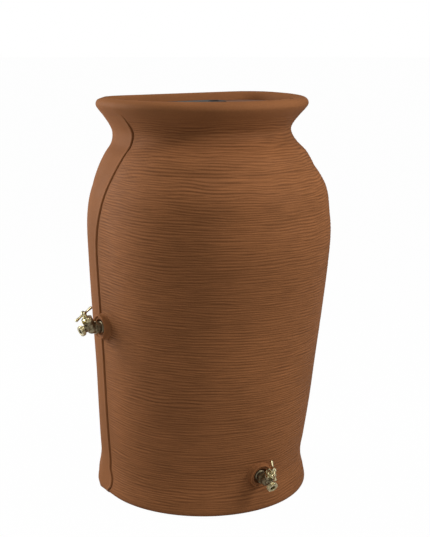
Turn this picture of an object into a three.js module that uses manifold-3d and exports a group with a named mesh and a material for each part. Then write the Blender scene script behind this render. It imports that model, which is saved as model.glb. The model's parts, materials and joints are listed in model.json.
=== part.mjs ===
// A flat-backed, urn-shaped rain barrel with a planter in its rim and two brass taps.
// Millimetres, +Z up. The origin is on the floor, midway between the sides, in the plane where
// the round front meets the straight sides. The front faces -Y, and the flat back, which stands
// against a wall, faces +Y.
import * as THREE from "three";
import { mergeVertices } from "three/addons/utils/BufferGeometryUtils.js";
import Module from "manifold-3d";

const wasm = await Module();
wasm.setup();

// ---------------------------------------------------------------- driving dimensions

const HEIGHT = 950;
const BACK = 111; // from the origin's plane to the wall face
const CORNER = 70; // radius of the two upright back corners, up to the shoulder
const WALL = 5;
const FLOOR = 7;
const GAP = 0.3; // left between pieces that touch
const BAND_PROUD = 3; // the smooth band stands this far out from the ridged front
const ROUND = 16; // sides of a turned piece

// The side outline of the tank, as [half-width, height] from the floor to the top of the lip.
const OUTLINE = [
  [246, 0], [252, 2.5], [255, 11], [252, 30], [247.5, 58], [246.5, 88], [250, 135], [256.5, 225],
  [263, 335], [270, 450], [276, 560], [278.5, 640], [275, 695], [265.5, 742], [247, 787],
  [229, 820], [212, 845], [208.5, 868], [215.5, 887], [230.5, 907], [244, 922], [250.3, 931],
  [251, 937], [248.5, 943], [242, 947.7], [232, HEIGHT],
];
// The inside of the mouth, from the neck up: a ledge carries the planter.
const NECK_INSIDE = 201;
const NECK_HEIGHT = 868;
const LEDGE = { inner: 207, outer: 218, height: 924, backInner: 97, backOuter: 103 };
const MOUTH = { halfWidth: 228, back: 104 };

const OUTLINE_STEPS = 32;

// The seam lies behind the widest plane, further at the foot of the tank.
const SEAM_BACK = 12.5;
const SEAM_LEAN = 9; // more than that, low down
const SEAM_RISE = 50; // how far forward it swings over the shoulder
const SEAM_FOOT = 15; // and over the foot

const BOSS = { radius: 28.6, step: 24.6, recess: 18.6, proud: 12, ledge: 9, floor: 2, inside: -8 };
const SIDE_TAP_HEIGHT = 426;
const FRONT_TAP_HEIGHT = 87;
const FRONT_TAP_TILT = 10; // degrees that the front tap looks down
const FRONT_TAP_ROLL = -3; // degrees that it is screwed past upright

// The tap, in its own frame: +X out of the wall, +Z up, from the face of the boss's base.
const SHANK_RADIUS = 10.4;
const SHANK_END = -21;
const WATERWAY = 6.5;
const FLANGE = { from: 4.5, to: 7, radius: 13.4, neck: 11.4, hexFrom: 15.8, hexTo: 22.4, acrossFlats: 27.4 };
const STEM_LEAN = 29; // degrees from upright
const STEM_FOOT = 29.5; // where the stem's axis meets the shank's
const CHAMBER = { radius: 12.2, bore: 9.3, seat: 7, top: 22.4 };
const COLLAR = { radius: 13.4, from: 17.5 };
const NOZZLE = { at: 7.4, drop: 22, neck: 8.6, length: 28.6, thread: 12.9, threadLength: 9, bored: 9 };
const BONNET = { acrossFlats: 24.4, top: 29.4, nose: 33.4, noseRadius: 7.2, skirtFoot: 18.6 };
const SPINDLE = { radius: 3.8, screw: 6, screwFrom: 14, screwTo: 19.4, tip: 46.7 };
const PACKING = { from: 24.8, to: 28 };
const HANDLE = { ball: 6.9, at: 41.9, foot: 34.8, footRadius: 5, reach: 27.2, root: 2.5, end: 3.5 };
const SIDE_HANDLE_TURN = 11; // degrees that the T-bar is turned about the stem
const FRONT_HANDLE_TURN = -17;

const PLANTER = {
  flange: 5, bowlHalfWidth: 180, bowlBack: 15, bowlCorner: 30, wall: 4, floorHeight: 762,
};
const INLET = { length: 190, width: 52, at: 59 }; // the slot behind the bowl
const SCREEN = { lip: 7, lipHeight: 3, depth: 26, wall: 2.4, slots: 15, slotWidth: 5 };

// ---------------------------------------------------------------- materials

const plastic = (color, roughness) =>
  new THREE.MeshStandardMaterial({ color, roughness, metalness: 0 });
const metal = (color, roughness) =>
  new THREE.MeshStandardMaterial({ color, roughness, metalness: 1 });

const MATERIALS = {
  terracotta: plastic(0x84502f, 0.75),
  planter: plastic(0x7a4a2c, 0.7),
  screenFrame: plastic(0x2b2a28, 0.55),
  mesh: metal(0x9a9a96, 0.4),
  castBrass: metal(0x7c6c48, 0.5),
  brightBrass: metal(0xc9ad62, 0.25),
  rubber: plastic(0x1d1d1d, 0.85),
  packing: plastic(0x4a4a4a, 0.9),
};

// ---------------------------------------------------------------- solids

// A closed geometry as a solid. Triangles that shrink to a line on a lathe's axis are dropped.
function solidOf(geometry) {
  const bare = geometry.clone();
  bare.deleteAttribute("normal");
  bare.deleteAttribute("uv");
  const merged = mergeVertices(bare, 1e-4);
  const index = merged.index.array;
  const kept = [];
  for (let i = 0; i < index.length; i += 3) {
    const [a, b, c] = [index[i], index[i + 1], index[i + 2]];
    if (a !== b && b !== c && c !== a) kept.push(a, b, c);
  }
  const build = (triVerts) =>
    new wasm.Manifold(
      new wasm.Mesh({
        numProp: 3,
        vertProperties: new Float32Array(merged.attributes.position.array),
        triVerts: new Uint32Array(triVerts),
      }),
    );
  const solid = build(kept);
  return solid.volume() < 0 ? build(kept.reverse()) : solid;
}

function meshOf(name, solid, material) {
  const { vertProperties, triVerts, numProp } = solid.getMesh();
  const position = new Float32Array((vertProperties.length / numProp) * 3);
  for (let i = 0; i < position.length / 3; i++) {
    for (let k = 0; k < 3; k++) position[3 * i + k] = vertProperties[numProp * i + k];
  }
  const indexed = new THREE.BufferGeometry();
  indexed.setAttribute("position", new THREE.BufferAttribute(position, 3));
  indexed.setIndex(new THREE.BufferAttribute(new Uint32Array(triVerts), 1));
  const geometry = indexed.toNonIndexed();
  geometry.computeVertexNormals();
  const mesh = new THREE.Mesh(geometry, material);
  mesh.name = name;
  return mesh;
}

const union = (...solids) => solids.reduce((sum, solid) => sum.add(solid));
const cut = (solid, ...tools) => tools.reduce((left, tool) => left.subtract(tool), solid);

// A solid turned about +Z, from a profile of [radius, height] that starts and ends on the axis.
function turned(profile, segments = ROUND) {
  const points = profile.map(([r, z]) => new THREE.Vector2(r, z));
  return new THREE.LatheGeometry(points, segments).rotateX(Math.PI / 2);
}

const rod = (radius, from, to, segments = ROUND) =>
  turned([[0, from], [radius, from], [radius, to], [0, to]], segments);

// A ring about +Z: its profile closes on itself.
const ring = (inner, outer, from, to, segments = ROUND) =>
  turned([[inner, from], [outer, from], [outer, to], [inner, to], [inner, from]], segments);

// A rod whose two rims are rounded over by a small chamfer.
const softRod = (radius, from, to, chamfer = 1, segments = ROUND) =>
  turned([
    [0, from], [radius - chamfer, from], [radius, from + chamfer],
    [radius, to - chamfer], [radius - chamfer, to], [0, to],
  ], segments);

// A hexagonal nut blank about +Z with turned-off corners.
function hexagon(acrossFlats, from, to) {
  const corner = acrossFlats / Math.sqrt(3);
  const blank = new THREE.CylinderGeometry(corner, corner, to - from, 6).rotateX(Math.PI / 2);
  blank.translate(0, 0, (from + to) / 2);
  return solidOf(blank).intersect(solidOf(softRod(corner * 0.975, from, to, corner * 0.09, 18)));
}

// ---------------------------------------------------------------- the tank's sections

// Points round a level section: a flat back with round corners, straight sides and a round front.
// seam is how far forward of y = 0 the band ends, proud how far the band stands out.
function section({ halfWidth, straight, back, corner, seam = 0, proud = 0, steps = 8 }) {
  const side = new THREE.Path();
  side.moveTo(halfWidth, back - corner);
  side.lineTo(halfWidth, -straight - 1e-3);
  side.absarc(0, -straight, halfWidth, 0, -Math.PI / 2, true);
  const length = side.getLength();
  const onArc = Math.asin(Math.min(1, Math.max(0, seam - straight) / halfWidth)) * halfWidth;
  const seamShare = (back - corner + Math.min(seam, straight) + onArc) / length;

  const half = [];
  for (let i = 0; i <= 5; i++) {
    const angle = (Math.PI / 2) * (1 - i / 5);
    half.push([
      halfWidth - corner + (corner + proud) * Math.cos(angle),
      back - corner + corner * Math.sin(angle),
    ]);
  }
  for (let i = 1; i <= 3; i++) {
    const p = side.getPoint((seamShare * i) / 3);
    const lean = Math.max(0, Math.asin(Math.min(1, (-p.y - straight) / halfWidth)));
    half.push([p.x + proud * Math.cos(lean), p.y - proud * Math.sin(lean)]);
  }
  for (let i = 0; i <= steps; i++) {
    const p = side.getPoint(Math.min(1, seamShare + ((1 - seamShare) * i) / steps));
    half.push([p.x, i === 0 ? p.y - 1.5 : p.y]);
  }
  const mirrored = half.slice(0, -1).reverse().map(([x, y]) => [-x, y]);
  return [...half, ...mirrored];
}

// A closed solid through sections at rising heights, all with the same number of points.
function loft(levels) {
  const rows = levels.map(({ z, ...shape }) => section(shape).map(([x, y]) => [x, y, z]));
  const count = rows[0].length;
  const points = rows.flat();
  const faces = [];
  for (let row = 0; row + 1 < rows.length; row++) {
    for (let i = 0; i < count; i++) {
      const a = row * count + i;
      const b = row * count + ((i + 1) % count);
      faces.push(a, b, a + count, b, b + count, a + count);
    }
  }
  const last = (rows.length - 1) * count;
  const middle = (row) => [0, row.reduce((sum, [, y]) => sum + y, 0) / count, row[0][2]];
  points.push(middle(rows[0]), middle(rows[rows.length - 1]));
  for (let i = 0; i < count; i++) {
    const next = (i + 1) % count;
    faces.push(next, i, points.length - 2, last + i, last + next, points.length - 1);
  }
  const geometry = new THREE.BufferGeometry();
  geometry.setAttribute("position", new THREE.Float32BufferAttribute(points.flat(), 3));
  geometry.setIndex(faces);
  return solidOf(geometry);
}

const outline = new THREE.SplineCurve(OUTLINE.map(([r, z]) => new THREE.Vector2(r, z)));
const smooth = THREE.MathUtils.smoothstep;

// The tank's half-width at a height, found on the outline.
function halfWidthAt(z) {
  const steps = 400;
  let before = outline.getPoint(0);
  for (let i = 1; i <= steps; i++) {
    const p = outline.getPoint(i / steps);
    if (p.y >= z) {
      const share = (z - before.y) / Math.max(1e-6, p.y - before.y);
      return before.x + share * (p.x - before.x);
    }
    before = p;
  }
  return before.x;
}

// Straight run of each side before the round front starts: the belly is deeper than a circle.
function straightAt(halfWidth, z) {
  const belly = Math.max(0, 1.48 * (halfWidth - 245)) * (1 - smooth(z, 860, 900));
  const foot = smooth(z, 40, 130);
  const shoulder = 37 * smooth(z, 670, 805) * (1 - smooth(z, 820, 885));
  const toe = 5 * (1 - smooth(z, 30, 70));
  return belly * foot + shoulder + toe;
}

// Radius of the upright back corners: they tighten towards the foot, most where it swells.
function cornerAt(z) {
  const lower = 14 * (1 - smooth(z, 60, 340));
  const swell = 12 * smooth(z, 8, 34) * (1 - smooth(z, 45, 95));
  return CORNER - lower - swell;
}

function seamAt(z) {
  const upright = -SEAM_BACK - SEAM_LEAN * (1 - smooth(z, 80, 420));
  const foot = SEAM_FOOT * smooth(z, 4, 26) * (1 - smooth(z, 38, 66));
  return upright + SEAM_RISE * smooth(z, 590, 880) + foot;
}

const bandAt = (z) => Math.max(0.02, BAND_PROUD * smooth(z, -4, 8) * (1 - smooth(z, 885, 925)));

function outerLevels() {
  return outline.getPoints(OUTLINE_STEPS).map(({ x, y }) => ({
    z: y,
    halfWidth: x,
    straight: straightAt(x, y),
    back: BACK,
    corner: cornerAt(y),
    seam: seamAt(y),
    proud: bandAt(y),
    steps: 11,
  }));
}

function cavityLevels() {
  const heights = [FLOOR, 14, 60, 110, 220, 340, 460, 570, 650, 710, 755, 790, 818, 840];
  const levels = heights.map((z) => {
    const halfWidth = halfWidthAt(z) - WALL - (z === FLOOR ? 6 : 0);
    return {
      z, halfWidth, straight: straightAt(halfWidth + WALL, z), back: BACK - WALL,
      corner: cornerAt(z) - WALL,
    };
  });
  const mouth = [
    [NECK_INSIDE, NECK_HEIGHT, BACK - WALL],
    [NECK_INSIDE + 1, 892, 99],
    [LEDGE.inner, 908, LEDGE.backInner],
    [LEDGE.inner, LEDGE.height, LEDGE.backInner],
    [LEDGE.outer, LEDGE.height + 0.01, LEDGE.backOuter],
    [LEDGE.outer + 2, 938, LEDGE.backOuter],
    [LEDGE.outer + 5, 945, LEDGE.backOuter + 0.5],
    [MOUTH.halfWidth, 948.6, MOUTH.back],
    [MOUTH.halfWidth + 4, HEIGHT + 1, MOUTH.back + 1],
  ];
  const rims = mouth.map(([halfWidth, z, back]) => ({
    z, halfWidth, straight: 0, back, corner: CORNER - WALL,
  }));
  return [...levels, ...rims];
}

// ---------------------------------------------------------------- the tank

// Moves a solid made about +Z so that its axis is a tap's own +X axis.
const outward = (geometry) => geometry.rotateY(Math.PI / 2);

// The moulded boss round a tap: a broad step, a ridge, and a recess that takes the flange.
function bossOutside() {
  const { radius, step, recess, proud, ledge, floor } = BOSS;
  return outward(turned([
    [0, -3], [radius + 4, -3], [radius + 1.5, 1], [radius + 0.3, 5], [radius, proud - 1.2],
    [radius - 1, proud], [step + 1, proud], [step, proud - 0.8], [step - 0.6, ledge + 0.5],
    [step - 1.4, ledge], [recess + 1, ledge], [recess, ledge - 1], [recess, floor], [0, floor],
  ], 24));
}

const recessTool = () => outward(rod(BOSS.recess, BOSS.floor, 60, 24));
const bossInside = () => outward(rod(22, BOSS.inside, -2));
const seatTool = () => outward(rod(20, -40, BOSS.inside));
const boreTool = () => outward(rod(SHANK_RADIUS + 0.6, -40, 40));

// The place of a tap on the tank: out of the left side, or out of the front.
function sidePlace() {
  const x = halfWidthAt(SIDE_TAP_HEIGHT) + BAND_PROUD;
  return new THREE.Matrix4().makeTranslation(-x, 0, SIDE_TAP_HEIGHT)
    .multiply(new THREE.Matrix4().makeRotationZ(Math.PI));
}

function frontPlace() {
  const halfWidth = halfWidthAt(FRONT_TAP_HEIGHT);
  const y = halfWidth + straightAt(halfWidth, FRONT_TAP_HEIGHT);
  const degree = Math.PI / 180;
  return new THREE.Matrix4().makeTranslation(0, -y, FRONT_TAP_HEIGHT)
    .multiply(new THREE.Matrix4().makeRotationZ(-Math.PI / 2))
    .multiply(new THREE.Matrix4().makeRotationY(FRONT_TAP_TILT * degree));
}

function barrelShell() {
  const places = [sidePlace(), frontPlace()];
  const placed = (make) => places.map((place) => solidOf(make().applyMatrix4(place)));
  const outside = union(cut(loft(outerLevels()), ...placed(recessTool)), ...placed(bossOutside));
  const hollow = cut(outside, loft(cavityLevels()));
  const padded = union(hollow, ...placed(bossInside));
  return cut(padded, ...placed(seatTool), ...placed(boreTool), ...placed(recessTool));
}

// ---------------------------------------------------------------- planter and inlet screen

const DECK = LEDGE.height + GAP; // underside of the planter's flange

function slotTool(length, width, from, to) {
  const shape = new THREE.Shape();
  const half = (length - width) / 2;
  shape.moveTo(-half, -width / 2);
  shape.lineTo(half, -width / 2);
  shape.absarc(half, 0, width / 2, -Math.PI / 2, Math.PI / 2);
  shape.lineTo(-half, width / 2);
  shape.absarc(-half, 0, width / 2, Math.PI / 2, (3 * Math.PI) / 2);
  const block = new THREE.ExtrudeGeometry(shape, {
    depth: to - from, bevelEnabled: false, curveSegments: 8,
  });
  return solidOf(block.translate(0, INLET.at, from));
}

function planterInsert() {
  const { flange, bowlHalfWidth, bowlBack, bowlCorner, wall, floorHeight } = PLANTER;
  const plate = { straight: 0, corner: CORNER - WALL - 0.5 };
  const edge = { halfWidth: LEDGE.outer - 1.5, back: LEDGE.backOuter - 1.5, ...plate };
  const deck = loft([
    { z: DECK, ...edge },
    { z: DECK + flange - 1, ...edge },
    { z: DECK + flange, ...edge, halfWidth: edge.halfWidth - 1 },
  ]);
  const bowl = (inset, heights) => loft(heights.map(([z, draft]) => ({
    z,
    halfWidth: bowlHalfWidth - inset - draft,
    straight: bowlBack,
    back: bowlBack - inset - draft,
    corner: bowlCorner - inset - draft,
    seam: bowlCorner - bowlBack + 5,
  })));
  const outside = bowl(0, [
    [floorHeight, 22], [floorHeight + 5, 17], [floorHeight + 16, 13], [DECK + 1, 0],
  ]);
  const inside = bowl(wall, [
    [floorHeight + wall, 22], [floorHeight + wall + 5, 17], [floorHeight + wall + 14, 13],
    [DECK, 0], [DECK + flange + 1, -1],
  ]);
  const drains = [[-90, -60], [90, -60], [0, -60], [-45, -120], [45, -120]].map(([x, y]) =>
    solidOf(rod(5, floorHeight - 5, floorHeight + 20, 16).translate(x, y, 0)));
  const slot = slotTool(INLET.length, INLET.width, DECK - 5, DECK + 20);
  return cut(union(deck, outside), inside, slot, ...drains);
}

// A shallow basket that hangs in the inlet by its lip, open below the mesh.
function screenFrame() {
  const { lip, lipHeight, depth, wall } = SCREEN;
  const { length, width } = INLET;
  const top = DECK + PLANTER.flange + GAP;
  const skirt = { length: length - 3, width: width - 3 };
  const body = union(
    slotTool(length + 2 * lip, width + 2 * lip, top, top + lipHeight),
    slotTool(skirt.length, skirt.width, top - depth, top + 1),
  );
  const ledge = 3;
  return cut(
    body,
    slotTool(skirt.length - 2 * wall, skirt.width - 2 * wall, top - depth + wall, top + 20),
    slotTool(
      skirt.length - 2 * (wall + ledge), skirt.width - 2 * (wall + ledge), top - depth - 5, top + 20),
  );
}

// The perforated plate that lies on the basket's inner ledge.
function screenMesh() {
  const { depth, wall, slots, slotWidth } = SCREEN;
  const length = INLET.length - 3 - 2 * wall - 1;
  const width = INLET.width - 3 - 2 * wall - 1;
  const from = DECK + PLANTER.flange + GAP - depth + wall + GAP;
  const plate = slotTool(length, width, from, from + 1.5);
  const pitch = (length - width / 2) / slots;
  const gaps = [];
  for (let i = 0; i < slots; i++) {
    const x = (i - (slots - 1) / 2) * pitch;
    const gap = new THREE.BoxGeometry(slotWidth, width - 16, 10);
    gaps.push(solidOf(gap.translate(x, INLET.at, from)));
  }
  return cut(plate, ...gaps);
}

// ---------------------------------------------------------------- the tap

const degrees = THREE.MathUtils.degToRad;

// From the stem's frame, where +Z runs up the stem, to the tap's.
const stemPlace = new THREE.Matrix4().makeTranslation(STEM_FOOT, 0, 0)
  .multiply(new THREE.Matrix4().makeRotationY(degrees(STEM_LEAN)));
// From the nozzle's frame, where +Z runs out of it, to the tap's.
const nozzlePlace = stemPlace.clone()
  .multiply(new THREE.Matrix4().makeTranslation(0, 0, NOZZLE.at))
  .multiply(new THREE.Matrix4().makeRotationY(degrees(90 + NOZZLE.drop - STEM_LEAN)));

const onStem = (geometry) => solidOf(geometry.applyMatrix4(stemPlace));
const onNozzle = (geometry) => solidOf(geometry.applyMatrix4(nozzlePlace));
const onWall = (geometry) => solidOf(outward(geometry));

// A round collar that presses the gasket, and a hexagon for the spanner further out.
function flangeBlank() {
  const { from, to, radius, neck, hexFrom, hexTo, acrossFlats } = FLANGE;
  return union(
    solidOf(rod(radius, from, to)),
    solidOf(rod(neck, to - 1, hexFrom + 1)),
    hexagon(acrossFlats, hexFrom, hexTo),
  ).transform(new THREE.Matrix4().makeRotationY(Math.PI / 2).toArray());
}

function tapBody() {
  const { radius, bore, seat, top } = CHAMBER;
  const { neck, length, thread, threadLength, bored } = NOZZLE;
  const casting = union(
    onWall(rod(SHANK_RADIUS, SHANK_END, FLANGE.from + 1)),
    flangeBlank(),
    onWall(turned([[0, 21], [12.8, 21], [12.4, 25], [12, STEM_FOOT], [0, STEM_FOOT]])),
    solidOf(new THREE.SphereGeometry(radius + 0.3, ROUND, 8).translate(STEM_FOOT, 0, 0)),
    onStem(rod(radius, 0, top - 1)),
    onStem(turned([
      [0, COLLAR.from - 3], [radius, COLLAR.from - 3], [COLLAR.radius, COLLAR.from],
      [COLLAR.radius, top - 1], [COLLAR.radius - 1, top], [0, top],
    ])),
    onNozzle(turned([
      [0, 0], [neck + 1.5, 0], [neck + 1.5, radius - 1], [neck, radius + 1.2],
      [neck, length - threadLength - 1.5], [thread, length - threadLength],
      [thread, length - 1], [thread - 1, length], [0, length],
    ])),
  );
  const water = union(
    onWall(rod(WATERWAY, SHANK_END - 5, STEM_FOOT, 16)),
    solidOf(new THREE.SphereGeometry(WATERWAY + 0.8, 16, 8).translate(STEM_FOOT, 0, 0)),
    onStem(rod(WATERWAY - 0.8, 2, seat + 1, 16)),
    onStem(rod(bore, seat, top + 5)),
    onNozzle(rod(WATERWAY, bored, length + 5)),
    onNozzle(turned([[0, length - 3], [thread - 5, length - 3], [thread - 3, length + 1], [0, length + 1]])),
  );
  return cut(casting, water);
}

function bonnet() {
  const { acrossFlats, top, nose, noseRadius, skirtFoot } = BONNET;
  const foot = CHAMBER.top + GAP;
  const blank = union(
    hexagon(acrossFlats, foot, top),
    solidOf(rod(CHAMBER.bore - GAP, skirtFoot, foot + 1)),
    solidOf(turned([
      [0, top - 1], [noseRadius + 2.6, top - 1], [noseRadius + 2, top + 0.6], [noseRadius, top + 1.4],
      [noseRadius - 0.4, nose - 1], [noseRadius - 1.6, nose], [0, nose],
    ])),
  );
  const bored = cut(
    blank,
    solidOf(rod(SPINDLE.screw + GAP, 0, PACKING.to + GAP)),
    solidOf(rod(SPINDLE.radius + GAP, 0, nose + 5, 16)),
  );
  return bored.transform(stemPlace.toArray());
}

const packingRing = () =>
  onStem(ring(SPINDLE.radius + GAP, SPINDLE.screw, PACKING.from, PACKING.to, 16));

function spindle() {
  const { radius, screw, screwFrom, screwTo, tip } = SPINDLE;
  return onStem(turned([
    [0, screwFrom], [screw - 1, screwFrom], [screw, screwFrom + 1], [screw, screwTo - 1],
    [screw - 1, screwTo], [radius, screwTo], [radius, tip], [0, tip],
  ], 16));
}

// The loose disc under the spindle, the rubber washer below it and the screw that holds that.
const jumper = () => onStem(softRod(8.2, 9.7, SPINDLE.screwFrom - GAP, 0.7));
const seatWasher = () => onStem(ring(2.3, 7.7, CHAMBER.seat + GAP, 9.4, 16));
const washerScrew = () =>
  onStem(turned([[0, 4.6], [3.2, 5.2], [4.2, 6.8], [4.2, 7.1], [1.8, 7.1], [1.8, 9.4], [0, 9.4]], 12));

// The T-bar: a ball on a tapering foot, and two arms that swell towards round ends.
function handle(turn) {
  const { ball, at, foot, footRadius, reach, root, end } = HANDLE;
  const arm = turned([
    [0, 0], [root + 0.6, 0], [root + 0.5, ball - 1], [root, ball + 1.5], [root + 0.3, reach * 0.55],
    [end, reach - 3.6], [end * 0.94, reach - 1.6], [end * 0.66, reach - 0.4], [0, reach],
  ], 10);
  const blank = union(
    solidOf(new THREE.SphereGeometry(ball, ROUND, 10).translate(0, 0, at)),
    solidOf(turned([[0, foot], [footRadius, foot], [footRadius + 0.5, foot + 2], [5.1, at], [0, at]])),
    solidOf(arm.clone().rotateY(Math.PI / 2).translate(0, 0, at)),
    solidOf(arm.clone().rotateY(-Math.PI / 2).translate(0, 0, at)),
  );
  const bored = cut(
    blank,
    solidOf(rod(SPINDLE.radius + GAP, 0, SPINDLE.tip + GAP, 16)),
    solidOf(rod(2.2, 40, 80, 12)),
    solidOf(rod(6, at + ball - 1.2, 80, 16)),
  );
  const spin = new THREE.Matrix4().makeRotationZ(degrees(turn));
  return bored.transform(stemPlace.clone().multiply(spin).toArray());
}

function handleScrew() {
  const seat = HANDLE.at + HANDLE.ball - 1.2 + GAP;
  return onStem(turned([
    [0, SPINDLE.tip + GAP], [1.8, SPINDLE.tip + GAP], [1.8, seat], [3.6, seat],
    [3.6, seat + 0.9], [2.6, seat + 1.8], [1.2, seat + 2.2], [0, seat + 2.2],
  ], 14));
}

const outerGasket = () => onWall(ring(SHANK_RADIUS + 0.6, 13, BOSS.floor + GAP, FLANGE.from - GAP));
const innerGasket = () => onWall(ring(SHANK_RADIUS + 0.6, 18, BOSS.inside - 2.3, BOSS.inside - GAP));

function lockNut() {
  const blank = hexagon(33, BOSS.inside - 9.6, BOSS.inside - 2.6);
  const bored = cut(blank, solidOf(rod(SHANK_RADIUS + GAP, -40, 0)));
  return bored.transform(new THREE.Matrix4().makeRotationY(Math.PI / 2).toArray());
}

// Every piece of one tap, named for its place.
function tap(place, matrix, handleTurn) {
  const { castBrass, brightBrass, rubber, packing } = MATERIALS;
  const pieces = [
    ["tap_body", tapBody(), castBrass],
    ["wall_gasket", outerGasket(), rubber],
    ["tank_gasket", innerGasket(), rubber],
    ["lock_nut", lockNut(), brightBrass],
    ["bonnet_nut", bonnet(), brightBrass],
    ["stem_packing", packingRing(), packing],
    ["stem", spindle(), brightBrass],
    ["jumper_disc", jumper(), brightBrass],
    ["seat_washer", seatWasher(), rubber],
    ["washer_screw", washerScrew(), brightBrass],
    ["tee_handle", handle(handleTurn), brightBrass],
    ["handle_screw", handleScrew(), brightBrass],
  ];
  const group = new THREE.Group();
  group.applyMatrix4(matrix);
  for (const [name, solid, material] of pieces) {
    group.add(meshOf(`${place}_${name}`, solid, material));
  }
  return group;
}

// ---------------------------------------------------------------- the assembly

const rolled = frontPlace().multiply(new THREE.Matrix4().makeRotationX(degrees(FRONT_TAP_ROLL)));

const group = new THREE.Group();
group.add(
  meshOf("barrel_shell", barrelShell(), MATERIALS.terracotta),
  meshOf("planter_insert", planterInsert(), MATERIALS.planter),
  meshOf("screen_frame", screenFrame(), MATERIALS.screenFrame),
  meshOf("screen_mesh", screenMesh(), MATERIALS.mesh),
  tap("side", sidePlace(), SIDE_HANDLE_TURN),
  tap("front", rolled, FRONT_HANDLE_TURN),
);

export default group;
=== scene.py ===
"""The looks of a flat-backed, urn-shaped rain barrel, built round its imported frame. Metres, +Z up."""
import json
import math

import bmesh
import bpy
import numpy as np
from mathutils import Matrix, Vector


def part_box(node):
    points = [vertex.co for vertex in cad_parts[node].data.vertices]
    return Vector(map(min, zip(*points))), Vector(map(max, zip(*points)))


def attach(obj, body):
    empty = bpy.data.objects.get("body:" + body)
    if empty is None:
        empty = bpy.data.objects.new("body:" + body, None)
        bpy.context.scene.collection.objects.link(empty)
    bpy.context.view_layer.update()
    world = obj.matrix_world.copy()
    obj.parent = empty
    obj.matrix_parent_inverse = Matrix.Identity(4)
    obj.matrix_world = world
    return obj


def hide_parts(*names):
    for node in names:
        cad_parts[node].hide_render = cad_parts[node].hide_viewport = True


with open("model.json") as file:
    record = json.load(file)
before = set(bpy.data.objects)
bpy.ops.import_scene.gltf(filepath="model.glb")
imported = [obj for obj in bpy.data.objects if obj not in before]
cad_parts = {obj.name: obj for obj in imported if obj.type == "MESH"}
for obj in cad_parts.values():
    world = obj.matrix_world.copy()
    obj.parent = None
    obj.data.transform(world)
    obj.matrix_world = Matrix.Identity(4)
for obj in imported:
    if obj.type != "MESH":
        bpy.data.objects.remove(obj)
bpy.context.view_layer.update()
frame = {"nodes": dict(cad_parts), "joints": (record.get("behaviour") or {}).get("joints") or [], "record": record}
RECORD = frame["record"]
MM = 0.001

# ---------------------------------------------------------------- the tank's shape

SHELL_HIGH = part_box("barrel_shell")[1]
HEIGHT = SHELL_HIGH.z
BACK = SHELL_HIGH.y
CORNER = 0.070
WALL = 0.005
FLOOR = 0.007

# The side outline, as half-width and height in millimetres, the same points as the frame's.
OUTLINE = np.array([
    (246, 0), (252, 2.5), (255, 11), (252, 30), (247.5, 58), (246.5, 88), (250, 135), (256.5, 225),
    (263, 335), (270, 450), (276, 560), (278.5, 640), (275, 695), (265.5, 742), (247, 787),
    (229, 820), (212, 845), (208.5, 868), (215.5, 887), (230.5, 907), (244, 922), (250.3, 931),
    (251, 937), (248.5, 943), (242, 947.7), (232, 950),
]) * MM

# Inside the mouth, from the top of the lip down to the neck: half-width, height, back.
MOUTH = np.array([
    (231.5, 949.9, 108), (229.3, 949.4, 107), (227, 948.3, 106), (225, 946.4, 105.2),
    (223.4, 944, 104.6), (221.6, 940, 104), (220, 935, 103.6), (218.8, 929, 103.2),
    (218.4, 924.8, 103), (217, 924.1, 102), (209, 924, 98), (207.6, 923.5, 97.4),
    (207, 921, 97), (206.6, 910, 97), (204.6, 900, 98), (202.5, 890, 100), (201.3, 880, 103),
    (201, 868, 106),
]) * MM

BAND_PROUD = 0.0018  # the smooth band, out from the ridged front
BEAD_PROUD = 0.0029  # the bead along the band's edge
# The seam lies behind the widest plane, further at the foot of the tank.
SEAM_BACK = 0.0125
SEAM_LEAN = 0.009  # more than that, low down
SEAM_RISE = 0.050  # how far forward it swings over the shoulder
SEAM_FOOT = 0.015  # and over the foot
ROW_STEP = 0.0014
FRONT_COLUMNS = 37  # on each half
BAND_COLUMNS = 11

RIDGE_PITCH = 0.0050
RIDGE_DEPTH = 0.0007
FRONT_MIDDLE = 2.0  # where the middle of the front falls in the ridges' noise
# Painted shade along the seam's groove.
GROOVE_SHADE = 300  # how much darker the groove gets for each metre of its depth
# Columns of points close to the seam, as distances behind it and in front of it.
NEAR_BAND = np.array([0.0004, 0.0010, 0.0018, 0.0030, 0.0050, 0.0065, 0.0082, 0.0102, 0.0130])
NEAR_FRONT = np.array([0.0004, 0.0012, 0.0024, 0.0040, 0.0065])


def smooth(x, low, high):
    t = np.clip((np.asarray(x, float) - low) / (high - low), 0, 1)
    return t * t * (3 - 2 * t)


def spline(points, per_span=24):
    """Dense points of a uniform Catmull-Rom curve through the given ones."""
    padded = np.vstack([points[:1], points, points[-1:]])
    t = np.linspace(0, 1, per_span, endpoint=False)[:, None]
    spans = []
    for p0, p1, p2, p3 in zip(padded, padded[1:], padded[2:], padded[3:]):
        v0, v1 = (p2 - p0) / 2, (p3 - p1) / 2
        spans.append((2 * p1 - 2 * p2 + v0 + v1) * t**3 + (-3 * p1 + 3 * p2 - 2 * v0 - v1) * t**2
                     + v0 * t + p1)
    return np.vstack([*spans, points[-1:]])


def evenly(curve, step):
    """The curve resampled at an even spacing."""
    along = np.concatenate([[0], np.cumsum(np.linalg.norm(np.diff(curve, axis=0), axis=1))])
    count = int(round(along[-1] / step)) + 1
    at = np.linspace(0, along[-1], count)
    return np.column_stack([np.interp(at, along, column) for column in curve.T])


def straight_at(half_width, z):
    """How far each side runs straight forward before the round front starts."""
    belly = np.maximum(0, 1.48 * (half_width - 0.245)) * (1 - smooth(z, 0.860, 0.900))
    shoulder = 0.037 * smooth(z, 0.670, 0.805) * (1 - smooth(z, 0.820, 0.885))
    toe = 0.005 * (1 - smooth(z, 0.030, 0.070))
    return belly * smooth(z, 0.040, 0.130) + shoulder + toe


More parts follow.
